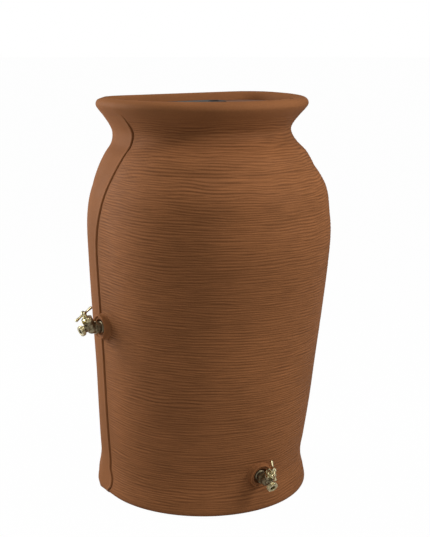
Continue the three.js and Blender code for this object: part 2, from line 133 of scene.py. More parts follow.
def corner_at(z):
    """Radius of the upright back corners, which tighten towards the foot."""
    lower = 0.014 * (1 - smooth(z, 0.060, 0.340))
    swell = 0.012 * smooth(z, 0.008, 0.034) * (1 - smooth(z, 0.045, 0.095))
    return CORNER - lower - swell


def seam_at(z):
    """How far forward of y = 0 the seam lies at a height."""
    upright = -SEAM_BACK - SEAM_LEAN * (1 - smooth(z, 0.080, 0.420))
    foot = SEAM_FOOT * smooth(z, 0.004, 0.026) * (1 - smooth(z, 0.038, 0.066))
    return upright + SEAM_RISE * smooth(z, 0.590, 0.880) + foot


def on_section(along, half_width, straight, back, corner):
    """Points and outward normals on the right half of a level section, from its back middle."""
    flat = half_width - corner
    arc = corner * math.pi / 2
    side = back - corner + straight
    a = np.clip((along - flat) / corner, 0, math.pi / 2)
    b = np.clip((along - flat - arc - side) / half_width, 0, math.pi / 2)
    down = np.clip(along - flat - arc, 0, side)
    x = np.minimum(along, flat) + corner * np.sin(a) - half_width * (1 - np.cos(b))
    y = back - corner * (1 - np.cos(a)) - down - half_width * np.sin(b)
    on_back = along < flat + arc
    nx = np.where(on_back, np.sin(a), np.cos(b))
    ny = np.where(on_back, np.cos(a), -np.sin(b))
    return x, y, nx, ny


def round_loop(right, left):
    """Values round a whole section, from those on its right and left halves."""
    return np.concatenate([right, left[-2:0:-1]])


def level_row(x, y, z):
    """The points of a whole level section, from those on its right half."""
    return np.column_stack([round_loop(x, -x), round_loop(y, y), np.full(2 * len(x) - 2, z)])


def section_lengths(half_width, straight, back, corner, seam):
    """The right half's whole length, and its length up to the seam."""
    before = half_width - corner + corner * math.pi / 2 + back - corner
    on_arc = np.arcsin(np.clip((seam - straight) / half_width, 0, 1)) * half_width
    whole = before + straight + half_width * math.pi / 2
    return whole, before + np.minimum(seam, straight) + on_arc


# ---------------------------------------------------------------- surface relief


class Noise:
    """Smooth seeded noise on a plane, about -1 to 1. It repeats after 64 by 512 cells."""

    def __init__(self, seed):
        self.grid = np.random.default_rng(seed).uniform(-1, 1, (64, 512))

    def __call__(self, x, y):
        x, y = np.asarray(x, float), np.asarray(y, float)
        ix, iy = np.floor(x).astype(int), np.floor(y).astype(int)
        fx, fy = x - ix, y - iy
        fx, fy = fx**3 * (fx * (fx * 6 - 15) + 10), fy**3 * (fy * (fy * 6 - 15) + 10)

        def corner(i, j):
            return self.grid[(ix + i) % 64, (iy + j) % 512]

        low = corner(0, 0) * (1 - fx) + corner(1, 0) * fx
        high = corner(0, 1) * (1 - fx) + corner(1, 1) * fx
        return low * (1 - fy) + high * fy


WARP, DRIFT, FINE, BROAD, FADE, SLOPE = (Noise(seed) for seed in (3, 11, 23, 37, 51, 67))


def ridges(u, z):
    """Height of the combed ridges, 0 in the valleys to 1 on the crests.

    Two sets of thin, nearly level waves take turns, so that a ridge runs 30 to 100 mm before it forks
    or dies away.
    """
    bend = 0.0012 * WARP(u / 0.080, z / 0.040) + 0.0050 * DRIFT(u / 0.32, z / 0.18)
    lean = 0.030 * SLOPE(u / 0.30 + 5, z / 0.12) * (u - FRONT_MIDDLE)
    level = z + bend + lean
    turn = 2 * math.pi * level / RIDGE_PITCH
    fine = np.sin(turn + 2.4 * FINE(u / 0.046, level / 0.013))
    broad = np.sin(turn / 1.36 + 2.6 * BROAD(u / 0.060, level / 0.018))
    share = smooth(FADE(u / 0.055, level / 0.010), -0.45, 0.45)
    return 0.5 + 0.5 * (fine * share + broad * (1 - share))


# ---------------------------------------------------------------- mesh helpers


def mesh_object(name, points, faces, shade_smooth=True):
    mesh = bpy.data.meshes.new(name)
    mesh.from_pydata([tuple(p) for p in points], [], faces)
    mesh.update()
    built = bmesh.new()
    built.from_mesh(mesh)
    bmesh.ops.recalc_face_normals(built, faces=built.faces)
    built.to_mesh(mesh)
    built.free()
    mesh.polygons.foreach_set("use_smooth", [shade_smooth] * len(mesh.polygons))
    piece = bpy.data.objects.new(name, mesh)
    bpy.context.scene.collection.objects.link(piece)
    return piece


def mark(piece, name, values):
    """Stores a number at each point of a piece, for its material."""
    attribute = piece.data.attributes.new(name, "FLOAT", "POINT")
    attribute.data.foreach_set("value", np.asarray(values, np.float32))


def grid_faces(rows, columns):
    """Quads between rows of points that run round a loop."""
    index = np.arange(rows * columns).reshape(rows, columns)
    right = np.roll(index, -1, axis=1)
    return np.stack([index[:-1], right[:-1], right[1:], index[1:]], axis=-1).reshape(-1, 4).tolist()


def tube_faces(rows, columns):
    """Quads between rows of points that run round a loop, and from the last row to the first."""
    last = (rows - 1) * columns
    faces = grid_faces(rows, columns)
    for i in range(columns):
        j = (i + 1) % columns
        faces.append([last + i, last + j, j, i])
    return faces


def capped_faces(rows, columns):
    """Quads between rows of points that run round a loop, and a flat face at each end."""
    last = (rows - 1) * columns
    ends = [list(range(columns))[::-1], [last + i for i in range(columns)]]
    return grid_faces(rows, columns) + ends


def lathe(name, profile, segments=64, matrix=None):
    """A solid turned about +Z from (radius, height) pairs in millimetres. Ends on the axis close it."""
    profile = np.array(profile, float) * MM
    angles = np.linspace(0, 2 * math.pi, segments, endpoint=False)
    loop = tuple(profile[0]) == tuple(profile[-1])
    rows = profile[:-1] if loop else profile[1:-1]
    points = [(r * math.cos(a), r * math.sin(a), z) for r, z in rows for a in angles]
    if loop:
        faces = tube_faces(len(rows), segments)
    else:
        faces = grid_faces(len(rows), segments)
        first, final = len(points), len(points) + 1
        points += [(0, 0, profile[0][1]), (0, 0, profile[-1][1])]
        last = (len(rows) - 1) * segments
        for i in range(segments):
            j = (i + 1) % segments
            faces.append([first, j, i])
            faces.append([final, last + i, last + j])
    piece = mesh_object(name, points, faces)
    if matrix is not None:
        piece.data.transform(matrix)
    return piece


def bake(piece):
    """Applies a piece's modifiers to its mesh."""
    graph = bpy.context.evaluated_depsgraph_get()
    graph.update()
    made = bpy.data.meshes.new_from_object(piece.evaluated_get(graph))
    piece.modifiers.clear()
    piece.data = made
    return piece


def join(name, pieces):
    """One mesh object that holds several pieces' meshes, which are removed."""
    merged = bmesh.new()
    for part in pieces:
        merged.from_mesh(part.data)
        bpy.data.objects.remove(part)
    mesh = bpy.data.meshes.new(name)
    merged.to_mesh(mesh)
    merged.free()
    piece = bpy.data.objects.new(name, mesh)
    bpy.context.scene.collection.objects.link(piece)
    return piece


def cast(name, pieces, voxel, smoothing):
    """Pieces fused into one casting with soft inner corners."""
    piece = join(name, pieces)
    remesh = piece.modifiers.new("fuse", "REMESH")
    remesh.mode = "VOXEL"
    remesh.voxel_size = voxel
    relax = piece.modifiers.new("soften", "SMOOTH")
    relax.iterations = smoothing
    bake(piece)
    piece.data.polygons.foreach_set("use_smooth", [True] * len(piece.data.polygons))
    return piece


def carve(piece, *tools):
    """Cuts the tools out of a piece and removes them."""
    for tool in tools:
        hole = piece.modifiers.new("hole", "BOOLEAN")
        hole.operation = "DIFFERENCE"
        hole.solver = "EXACT"
        hole.object = tool
        bake(piece)
        bpy.data.objects.remove(tool)
    return piece


def sharpen(piece, degrees=35):
    """Marks edges sharper than this, so that turned parts keep their crisp shoulders."""
    piece.data.set_sharp_from_angle(angle=math.radians(degrees))
    return piece


# ---------------------------------------------------------------- materials


def material(name):
    made = bpy.data.materials.new(name)
    made.use_nodes = True
    nodes = made.node_tree.nodes
    return made, nodes, made.node_tree.links, nodes["Principled BSDF"]


def noise_node(nodes, links, scale, detail=4.0, roughness=0.5, stretch=None):
    """Noise in the object's own space, stretched along the axes if asked."""
    coords = nodes.new("ShaderNodeTexCoord")
    noise = nodes.new("ShaderNodeTexNoise")
    noise.inputs["Scale"].default_value = scale
    noise.inputs["Detail"].default_value = detail
    noise.inputs["Roughness"].default_value = roughness
    if stretch:
        mapping = nodes.new("ShaderNodeMapping")
        mapping.inputs["Scale"].default_value = stretch
        links.new(coords.outputs["Object"], mapping.inputs["Vector"])
        links.new(mapping.outputs["Vector"], noise.inputs["Vector"])
    else:
        links.new(coords.outputs["Object"], noise.inputs["Vector"])
    return noise


def ramp_node(nodes, links, source, stops):
    ramp = nodes.new("ShaderNodeValToRGB")
    elements = ramp.color_ramp.elements
    while len(elements) < len(stops):
        elements.new(0.5)
    for element, (place, color) in zip(elements, stops):
        element.position = place
        element.color = (*color, 1) if len(color) == 3 else color
    links.new(source, ramp.inputs["Fac"])
    return ramp


def mix_node(nodes, links, factor, first, second, blend="MIX"):
    """Mixes two colours. Each input is a socket or a plain value."""
    mix = nodes.new("ShaderNodeMix")
    mix.data_type = "RGBA"
    mix.blend_type = blend
    for socket, value in ((mix.inputs[0], factor), (mix.inputs[6], first), (mix.inputs[7], second)):
        if isinstance(value, bpy.types.NodeSocket):
            links.new(value, socket)
        elif isinstance(value, (int, float)):
            socket.default_value = value
        else:
            socket.default_value = (*value, 1)
    return mix.outputs[2]


def range_node(nodes, links, source, low, high):
    """Maps 0 to 1 onto low to high."""
    spread = nodes.new("ShaderNodeMapRange")
    spread.inputs["To Min"].default_value = low
    spread.inputs["To Max"].default_value = high
    links.new(source, spread.inputs["Value"])
    return spread.outputs["Result"]


def bump_node(nodes, links, height, strength, distance, before=None):
    bump = nodes.new("ShaderNodeBump")
    bump.inputs["Strength"].default_value = strength
    bump.inputs["Distance"].default_value = distance
    links.new(height, bump.inputs["Height"])
    if before is not None:
        links.new(before, bump.inputs["Normal"])
    return bump.outputs["Normal"]


def attribute_node(nodes, name):
    """The number stored at each point of a piece by mark."""
    attribute = nodes.new("ShaderNodeAttribute")
    attribute.attribute_name = name
    return attribute.outputs["Fac"]


TERRACOTTA = (0.216, 0.085, 0.031)


def terracotta_material():
    """Pigmented moulded plastic: mottled clay colour, with painted shade in the valleys between the ridges and
    painted highlights on their crests.
    """
    made, nodes, links, shader = material("terracotta_plastic")
    clouds = noise_node(nodes, links, 5.0, 3.0)
    base = ramp_node(nodes, links, clouds.outputs["Fac"], [
        (0.30, tuple(0.90 * c for c in TERRACOTTA)), (0.70, tuple(1.10 * c for c in TERRACOTTA)),
    ])
    # Painted shade and highlight from the stored mark: darker in the valleys, the groove and the boss recess,
    # paler on the crests and the boss rim.
    tone = ramp_node(nodes, links, attribute_node(nodes, "relief_shade"), [
        (0.0, (0.62, 0.60, 0.58)), (0.30, (0.90, 0.89, 0.88)), (0.55, (1.0, 1.0, 1.0)),
        (1.0, (1.16, 1.16, 1.16)),
    ])
    toned = mix_node(nodes, links, 1.0, base.outputs["Color"], tone.outputs["Color"], "MULTIPLY")
    # Hair lines between the modelled ridges, on the ridged front only, painted darker in their hollows as shade
    # and paler on their tops as light.
    lines = noise_node(nodes, links, 1.0, 2.0, 0.6, (16.0, 16.0, 380.0))
    shade = ramp_node(nodes, links, lines.outputs["Fac"], [
        (0.34, (0.84, 0.83, 0.82)), (0.50, (1.0, 1.0, 1.0)), (0.66, (1.10, 1.10, 1.10)),
    ])
    ridged = attribute_node(nodes, "ridged")
    lined = mix_node(nodes, links, 1.0, toned, shade.outputs["Color"], "MULTIPLY")
    body = mix_node(nodes, links, ridged, toned, lined)
    specks = noise_node(nodes, links, 420.0, 2.0, 0.6)
    speck = ramp_node(nodes, links, specks.outputs["Fac"], [
        (0.35, (0.93, 0.93, 0.93)), (0.65, (1.06, 1.06, 1.06)),
    ])
    color = mix_node(nodes, links, 1.0, body, speck.outputs["Color"], "MULTIPLY")
    links.new(color, shader.inputs["Base Color"])
    sheen = noise_node(nodes, links, 38.0, 4.0)
    links.new(range_node(nodes, links, sheen.outputs["Fac"], 0.58, 0.78), shader.inputs["Roughness"])
    depth = nodes.new("ShaderNodeMath")
    depth.operation = "MULTIPLY"
    links.new(lines.outputs["Fac"], depth.inputs[0])
    links.new(ridged, depth.inputs[1])
    hair = bump_node(nodes, links, depth.outputs["Value"], 0.35, 0.0007)
    grain = noise_node(nodes, links, 900.0, 3.0, 0.6)
    links.new(bump_node(nodes, links, grain.outputs["Fac"], 0.14, 0.0002, hair), shader.inputs["Normal"])
    shader.inputs["Specular IOR Level"].default_value = 0.06
    return made


def moulded_material(name, dark, light, roughness, grain_scale=700.0):
    """Plain moulded plastic or rubber with a fine grain."""
    made, nodes, links, shader = material(name)
    clouds = noise_node(nodes, links, 30.0, 4.0)
    tint = ramp_node(nodes, links, clouds.outputs["Fac"], [(0.3, dark), (0.7, light)])
    links.new(tint.outputs["Color"], shader.inputs["Base Color"])
    links.new(
        range_node(nodes, links, clouds.outputs["Fac"], roughness - 0.08, roughness + 0.08),
        shader.inputs["Roughness"])
    grain = noise_node(nodes, links, grain_scale, 3.0, 0.6)
    links.new(bump_node(nodes, links, grain.outputs["Fac"], 0.2, 0.0002), shader.inputs["Normal"])
    return made


def brass_material(name, dull, body, bright, low, high, pits):
    """Brass with patches of tarnish, rougher where dull, and the sand-cast or turned grain of its making."""
    made, nodes, links, shader = material(name)
    patches = noise_node(nodes, links, 120.0, 6.0, 0.62)
    tint = ramp_node(nodes, links, patches.outputs["Fac"], [(0.30, dull), (0.52, body), (0.72, bright)])
    links.new(tint.outputs["Color"], shader.inputs["Base Color"])
    shader.inputs["Metallic"].default_value = 1.0
    links.new(range_node(nodes, links, patches.outputs["Fac"], high, low), shader.inputs["Roughness"])
    sand = noise_node(nodes, links, 1500.0, 3.0, 0.6)
    links.new(bump_node(nodes, links, sand.outputs["Fac"], pits, 0.0003), shader.inputs["Normal"])
    return made


def steel_material():
    made, nodes, links, shader = material("stainless_wire")
    tone = noise_node(nodes, links, 300.0, 4.0)
    stops = [(0.3, (0.42, 0.42, 0.41)), (0.7, (0.66, 0.66, 0.64))]
    tint = ramp_node(nodes, links, tone.outputs["Fac"], stops)
    links.new(tint.outputs["Color"], shader.inputs["Base Color"])
    shader.inputs["Metallic"].default_value = 1.0
    links.new(range_node(nodes, links, tone.outputs["Fac"], 0.25, 0.42), shader.inputs["Roughness"])
    return made


TERRACOTTA_PLASTIC = terracotta_material()
PLANTER_PLASTIC = moulded_material("planter_plastic", (0.130, 0.058, 0.031), (0.165, 0.074, 0.038), 0.58)
SCREEN_PLASTIC = moulded_material("screen_plastic", (0.018, 0.017, 0.015), (0.030, 0.028, 0.025), 0.50)
RUBBER = moulded_material("gasket_rubber", (0.010, 0.010, 0.010), (0.022, 0.022, 0.021), 0.72)
PACKING = moulded_material("stem_packing", (0.030, 0.030, 0.031), (0.060, 0.060, 0.060), 0.80, 1600.0)
STEEL = steel_material()
CAST_BRASS = brass_material(
    "cast_brass", (0.130, 0.104, 0.060), (0.250, 0.205, 0.125), (0.400, 0.340, 0.215), 0.32, 0.54, 0.45)
BRIGHT_BRASS = brass_material(
    "bright_brass", (0.320, 0.260, 0.135), (0.600, 0.525, 0.305), (0.800, 0.730, 0.500), 0.16, 0.34, 0.12)


def finish(piece, surface, slot, body, *nodes):
    """Gives a piece its material, and says what it stands for and what it moves with. Its slot is not used."""
    piece.data.materials.clear()
    piece.data.materials.append(surface)
    if nodes:
        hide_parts(*nodes)
    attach(piece, body)
    return piece


# ---------------------------------------------------------------- the tank


def edge_profile(v):
    """How far the band and its bead stand out, and how far the groove sinks in.

    v is the distance behind the seam in metres, negative in front of it.
    """
    bead = BEAD_PROUD * smooth(v, 0.0, 0.0016) - (BEAD_PROUD - BAND_PROUD) * smooth(v, 0.0060, 0.0100)
    groove = -0.0010 * smooth(v, -0.0035, -0.0004) * (1 - smooth(v, 0.0, 0.0010))
    return bead, groove


def tank_outer():
    """Rows of points from the floor to the top of the lip, with the relief's painted shade and highlight at each.
    """
    outline = evenly(spline(OUTLINE), ROW_STEP)
    rows, relief_shade, ridged = [], [], []
    for half_width, z in outline:
        straight = straight_at(half_width, z)
        back = BACK - 0.003 * smooth(z, HEIGHT - 0.006, HEIGHT) - 0.003 * (1 - smooth(z, 0, 0.005))
        corner = corner_at(z)
        whole, seam = section_lengths(half_width, straight, back, corner, seam_at(z))
        behind = np.linspace(0, seam - NEAR_BAND[-1], BAND_COLUMNS, endpoint=False)
        ahead = np.linspace(seam + NEAR_FRONT[-1], whole, FRONT_COLUMNS + 1)[1:]
        along = np.concatenate([behind, seam - NEAR_BAND[::-1], seam + NEAR_FRONT, ahead])
        x, y, nx, ny = on_section(along, half_width, straight, back, corner)
        v = seam - along
        fade = smooth(z, -0.004, 0.008) * (1 - smooth(z, 0.885, 0.925))
        bead, groove = edge_profile(v)
        out = (bead + groove) * fade
        forward = whole - along
        mask = smooth(-v, 0.0030, 0.0100) * smooth(z, 0.004, 0.022) * (1 - smooth(z, 0.890, 0.922))
        sides = []
        for sign in (1, -1):
            crest = ridges(sign * forward + FRONT_MIDDLE, np.full_like(forward, z))
            depth = RIDGE_DEPTH * mask * (1 - crest)
            px = x + nx * (out - depth)
            py = y + np.minimum(ny, 0) * (out - depth)
            # Painted shade and highlight: darker in the valleys, paler on the crests, and darker in the groove by
            # its depth.
            tone = 0.5 + (crest - 0.5) * mask + GROOVE_SHADE * groove * fade
            sides.append((sign * px, py, tone, mask))
        (rx, ry, rt, rm), (lx, ly, lt, lm) = sides
        level = np.full(2 * len(rx) - 2, z)
        rows.append(np.column_stack([round_loop(rx, lx), round_loop(ry, ly), level]))
        relief_shade.append(round_loop(rt, lt))
        ridged.append(round_loop(rm, lm))
    return rows, relief_shade, ridged, along / whole


def tank_inner(shares):
    """Rows of points from the top of the lip down the inside to the floor, at shares of each length."""
    outline = evenly(spline(OUTLINE), 0.012)
    inside = [(w - WALL, z, BACK - WALL) for w, z in outline[::-1] if FLOOR + 0.02 < z < 0.860]
    foot = inside[-1][0]
    inside += [(foot - 0.002, FLOOR + 0.008, BACK - WALL), (foot - 0.008, FLOOR, BACK - WALL - 0.006)]
    rows = []
    for half_width, z, back in [*MOUTH, *inside]:
        straight = straight_at(half_width + WALL, z)
        corner = corner_at(z) - WALL
        whole, _ = section_lengths(half_width, straight, back, corner, 0)
        x, y, _, _ = on_section(shares * whole, half_width, straight, back, corner)
        rows.append(level_row(x, y, z))
    return rows


def tank_skin():
    outer, relief_shade, ridged, shares = tank_outer()
    columns = len(outer[0])
    rows = outer + tank_inner(shares)
    piece = mesh_object("tank_skin", np.vstack(rows), capped_faces(len(rows), columns))
    inner_points = columns * (len(rows) - len(outer))
    # Painted shade for the material: the ridges and groove outside, an even middle tone inside.
    mark(piece, "relief_shade", np.concatenate([*relief_shade, np.full(inner_points, 0.5)]))
    mark(piece, "ridged", np.concatenate([*ridged, np.zeros(inner_points)]))
    sharpen(piece, 50)
    return finish(piece, TERRACOTTA_PLASTIC, "terracotta_shell", "tank", "barrel_shell")


# ---------------------------------------------------------------- where each tap is

STEM_LEAN = math.radians(29)
STEM_FOOT = 0.0295
HANDLE_AT = 0.0419
NOZZLE_AT = 0.0074
NOZZLE_DROP = math.radians(22)


def tap_place(name):
    """The tap's own frame, +X out of the wall and +Z up, from its stem's joint and its hose face."""
    joint = next(j for j in frame["joints"] if j["name"] == name + "_valve_turn")
    mount = next(m for m in RECORD["mounts"] if m["name"] == name + "_hose_face")
    stem = Vector(joint["axis"]).normalized()
    nozzle = Vector(mount["axis"]).normalized()
    spread = math.cos(NOZZLE_DROP - STEM_LEAN)
    out = (math.sin(NOZZLE_DROP) * stem + math.cos(STEM_LEAN) * nozzle) / spread
    up = (math.cos(NOZZLE_DROP) * stem - math.sin(STEM_LEAN) * nozzle) / spread
    origin = Vector(joint["pos_m"]) - HANDLE_AT * stem - STEM_FOOT * out
    turned = Matrix((out, up.cross(out), up)).transposed()
    return Matrix.Translation(origin) @ turned.to_4x4()


ALONG_X = Matrix.Rotation(math.pi / 2, 4, "Y")
STEM = Matrix.Translation((STEM_FOOT, 0, 0)) @ Matrix.Rotation(STEM_LEAN, 4, "Y")
NOZZLE = STEM @ Matrix.Translation((0, 0, NOZZLE_AT))
NOZZLE = NOZZLE @ Matrix.Rotation(math.pi / 2 + NOZZLE_DROP - STEM_LEAN, 4, "Y")


def boss(name, place):
    """The moulded boss: a raised rim, a ledge, and a recess behind the tap's flange."""
    profile = [
        (0, -6), (33, -6), (32.2, -2), (30.9, 0), (29.8, 1.6), (29.1, 3.6), (28.8, 6), (28.5, 10.2),
        (28.1, 11.3), (27.3, 11.9), (26.6, 12), (25.8, 11.7), (25, 10.9), (24.4, 9.9), (23.6, 9.2),
        (22.8, 9), (20.4, 9), (19.3, 8.8), (18.7, 8.1), (18.6, 3), (18.2, 2.2), (0, 2),
    ]
    piece = lathe(name + "_boss", profile, 96, place @ ALONG_X)
    # Painted light and shade: the rim is painted a little paler as a highlight, and the recess darker as shade.
    local = (place @ ALONG_X).inverted()
    points = np.array([local @ v.co for v in piece.data.vertices]) / MM
    radius, height = np.hypot(points[:, 0], points[:, 1]), points[:, 2]
    rim = smooth(height, 9.4, 11.6)
    recess_shade = 1 - smooth(radius, 18.4, 20)
    mark(piece, "relief_shade", 0.5 + 0.5 * rim - 0.5 * recess_shade)
    return finish(sharpen(piece, 60), TERRACOTTA_PLASTIC, "terracotta_shell", "tank")


def hexagon(name, across, low, high, bore, matrix, chamfer=1.0, segments=144):
    """A chamfered hexagonal nut or flange about +Z, in millimetres, with a hole through it."""
    heights = [low, low + chamfer * 0.35, low + chamfer, high - chamfer, high - chamfer * 0.35, high]
    corner = across / math.sqrt(3)
    limits = [corner * 0.90, corner * 0.94, corner * 0.985, corner * 0.985, corner * 0.94, corner * 0.90]
    points, rows = [], []
    angles = np.linspace(0, 2 * math.pi, segments, endpoint=False)
    flats = across / 2 / np.cos((angles % (math.pi / 3)) - math.pi / 6)
    for z, limit in zip(heights, limits):
        rows.append((np.minimum(flats, limit), z))
    rows.append((np.full(segments, bore), high))
    rows.append((np.full(segments, bore), low))
    for radii, z in rows:
        points += [(r * MM * math.cos(a), r * MM * math.sin(a), z * MM) for r, a in zip(radii, angles)]
    piece = mesh_object(name, points, tube_faces(len(rows), segments))
    piece.data.transform(matrix)
    return sharpen(piece, 18)


def thread(name, outer, inner, low, high, pitch, depth, matrix, segments=72):
    """A tube with a raised helical thread on its outside, in millimetres."""
    angles = np.linspace(0, 2 * math.pi, segments, endpoint=False)
    heights = np.arange(low + 0.6, high - 0.5, 0.22)
    rows = [(np.full(segments, inner), low), (np.full(segments, outer - depth), low)]
    for z in heights:
        turn = (z / pitch - angles / (2 * math.pi)) % 1
        crest = smooth(1 - np.abs(2 * turn - 1), 0.25, 0.70)
        ends = smooth(z, low + 0.4, low + 1.8) * (1 - smooth(z, high - 1.6, high - 0.4))
        rows.append((outer - depth + depth * crest * ends, z))
    rows += [(np.full(segments, outer - depth), high), (np.full(segments, inner + 1.0), high)]
    rows += [(np.full(segments, inner), high - 0.8)]
    points = []
    for radii, z in rows:
        points += [(r * MM * math.cos(a), r * MM * math.sin(a), z * MM) for r, a in zip(radii, angles)]
    piece = mesh_object(name, points, tube_faces(len(rows), segments))
    piece.data.transform(matrix)
    return sharpen(piece, 50)


def tap_casting(name, place):
    """The cast body: shank, collar, elbow, chamber with its swelled top, and the nozzle's neck."""
    stem, nozzle = place @ STEM, place @ NOZZLE
    parts = [
        lathe("shank", [
            (0, -21), (10.2, -21), (10.2, 4.5), (13.1, 4.5), (13.4, 4.9), (13.4, 6.4), (12.9, 7),
            (11.6, 7.6), (11.4, 9), (11.4, 16), (12.6, 17), (12.6, 22.6), (12.4, 25), (12.0, 29.5),
            (0, 29.5),
        ], 64, place @ ALONG_X),
        lathe("elbow", [(12.7 * math.sin(a), -12.7 * math.cos(a)) for a in np.linspace(0, math.pi, 17)],
              64, stem),
        lathe("chamber", [(0, 0), (12.0, 0), (12.0, 14.5), (13.2, 17.5), (13.3, 21.2), (12.6, 22.3),
                          (0, 22.3)], 64, stem),
        lathe("neck", [(0, 0), (10.3, 0), (10.0, 10.5), (8.6, 13.4), (8.6, 17.2), (9.8, 18.8),
                       (12.2, 19.5), (12.2, 20.2), (0, 20.2)], 64, nozzle),
    ]
    piece = cast(name + "_tap_casting", parts, 0.0006, 6)
    hollows = [
        lathe("bore", [(0, 9), (6.5, 9), (6.5, 40), (0, 40)], 32, nozzle),
        lathe("chamber_bore", [(0, 7), (9.3, 7), (9.3, 30), (0, 30)], 48, stem),
        lathe("seat_hole", [(0, 2), (5.7, 2), (5.7, 8), (0, 8)], 32, stem),
        lathe("waterway", [(0, -30), (6.5, -30), (6.5, 29), (0, 29)], 32, place @ ALONG_X),
    ]
    return carve(piece, *hollows)


def ball_profile(radius):
    return [(radius * math.sin(a), -radius * math.cos(a)) for a in np.linspace(0, math.pi, 17)]


def tee_handle(name, place, turn):
    """A ball on a tapering foot, with two arms that swell to round ends."""
    spun = place @ STEM @ Matrix.Rotation(math.radians(turn), 4, "Z")
    middle = spun @ Matrix.Translation((0, 0, HANDLE_AT))
    arm = [(0, 0), (3.3, 0), (3.1, 5.8), (2.6, 7.8), (2.5, 10.5), (2.75, 15), (3.3, 21), (3.5, 23.6),
           (3.4, 25.1), (2.9, 26.3), (1.8, 27), (0, 27.2)]
    foot = [(0, 34.9), (4.9, 34.9), (5.4, 35.8), (5.1, 37.4), (4.7, 40.5), (0, 40.5)]
    parts = [
        lathe("ball", ball_profile(6.8), 48, middle),
        lathe("foot", foot, 48, spun),
        lathe("arm", arm, 40, middle @ Matrix.Rotation(math.pi / 2, 4, "Y")),
        lathe("arm", arm, 40, middle @ Matrix.Rotation(-math.pi / 2, 4, "Y")),
    ]
    piece = cast(name + "_handle_tee", parts, 0.00035, 4)
    seat = lathe("seat", [(0, 47.6), (5.2, 47.6), (5.2, 56), (0, 56)], 40, spun)
    return carve(piece, seat)


def handle_screw(name, place):
    spun = place @ STEM
    head = lathe(name + "_handle_screw_head", [
        (0, 47.1), (1.8, 47.1), (1.8, 47.9), (3.5, 47.9), (3.55, 48.6), (3.1, 49.3), (2.2, 49.8), (0, 50),
    ], 48, spun)
    bar = mesh_object("bar", [
        (x, y, z) for z in (0.0490, 0.055) for x, y in
        ((-0.005, -0.0005), (0.005, -0.0005), (0.005, 0.0005), (-0.005, 0.0005))
    ], [[0, 1, 2, 3], [4, 5, 6, 7], [0, 1, 5, 4], [1, 2, 6, 5], [2, 3, 7, 6], [3, 0, 4, 7]], False)
    bar.data.transform(spun)
    return carve(sharpen(head, 40), bar)


def tap(name, turn):
    """One tap, built in its own frame."""
    place = tap_place(name)
    stem = place @ STEM
    boss(name, place)
    finish(tap_casting(name, place), CAST_BRASS, "cast_brass", "tank", name + "_tap_body")
    flange = hexagon(name + "_tap_flange", 27.4, 15.8, 22.3, 9, place @ ALONG_X, 1.1)
    finish(flange, CAST_BRASS, "cast_brass", "tank")
    outlet = thread(name + "_hose_thread", 12.9, 6.5, 19.6, 28.6, 2.2, 1.0, place @ NOZZLE)
    finish(outlet, BRIGHT_BRASS, "cast_brass", "tank")
    nut = hexagon(name + "_bonnet_hex", 24.4, 22.7, 29.4, 6.4, stem, 1.2)
    finish(nut, BRIGHT_BRASS, "bright_brass", "tank", name + "_bonnet_nut")
    nose = lathe(name + "_bonnet_nose", [
        (4.2, 28.9), (9.2, 28.9), (9.4, 29.6), (8.9, 30.3), (7.6, 30.8), (7.2, 31.4), (7.1, 32.4),
        (6.5, 33.2), (5.4, 33.4), (4.2, 33.4), (4.2, 28.9),
    ], 64, stem)
    finish(sharpen(nose), BRIGHT_BRASS, "bright_brass", "tank")
    skirt = lathe(name + "_bonnet_skirt", [(6.4, 18.7), (8.9, 18.7), (8.9, 22.8), (6.4, 22.8), (6.4, 18.7)],
                  48, stem)
    finish(sharpen(skirt), BRIGHT_BRASS, "bright_brass", "tank")
    gasket = lathe(name + "_wall_seal", [
        (11, 2.35), (12.7, 2.35), (13, 2.7), (13, 3.8), (12.7, 4.15), (11, 4.15), (11, 2.35),
    ], 64, place @ ALONG_X)
    finish(sharpen(gasket), RUBBER, "gasket_rubber", "tank", name + "_wall_gasket")
    nut = hexagon(name + "_inner_nut", 33, -17.6, -10.6, 10.8, place @ ALONG_X, 1.2)
    finish(nut, BRIGHT_BRASS, "bright_brass", "tank", name + "_lock_nut")
    seal = lathe(name + "_inner_seal", [
        (11, -10.2), (17.7, -10.2), (18, -9.9), (18, -8.7), (17.7, -8.35), (11, -8.35), (11, -10.2),
    ], 64, place @ ALONG_X)
    finish(sharpen(seal), RUBBER, "gasket_rubber", "tank", name + "_tank_gasket")
    valve = name + "_valve"
    finish(tee_handle(name, place, turn), BRIGHT_BRASS, "bright_brass", valve, name + "_tee_handle")
    finish(handle_screw(name, place), BRIGHT_BRASS, "bright_brass", valve, name + "_handle_screw")


def carried_over():
    """Materials for the frame's own pieces that stay as they are."""
    for name in ("side", "front"):
        for node, surface in (
            ("stem", BRIGHT_BRASS), ("jumper_disc", BRIGHT_BRASS), ("washer_screw", BRIGHT_BRASS),
            ("seat_washer", RUBBER), ("stem_packing", PACKING),
        ):
            piece = frame["nodes"][name + "_" + node]
            piece.data.materials.clear()
            piece.data.materials.append(surface)


# ---------------------------------------------------------------- planter and inlet

DECK_LOW, DECK_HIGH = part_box("planter_insert")
DECK_TOP = DECK_HIGH.z
FLANGE = 0.005
BOWL_HALF_WIDTH = 0.180
BOWL_BACK = 0.015
BOWL_CORNER = 0.030
BOWL_WALL = 0.004
SCREEN_LOW, SCREEN_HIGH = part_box("screen_frame")
MESH_LOW, MESH_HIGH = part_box("screen_mesh")
INLET_Y = (SCREEN_LOW.y + SCREEN_HIGH.y) / 2
INLET_SLOT = (0.190, 0.052)  # the hole's length and width
BASKET = (0.187, 0.049)  # the same for the basket's skirt


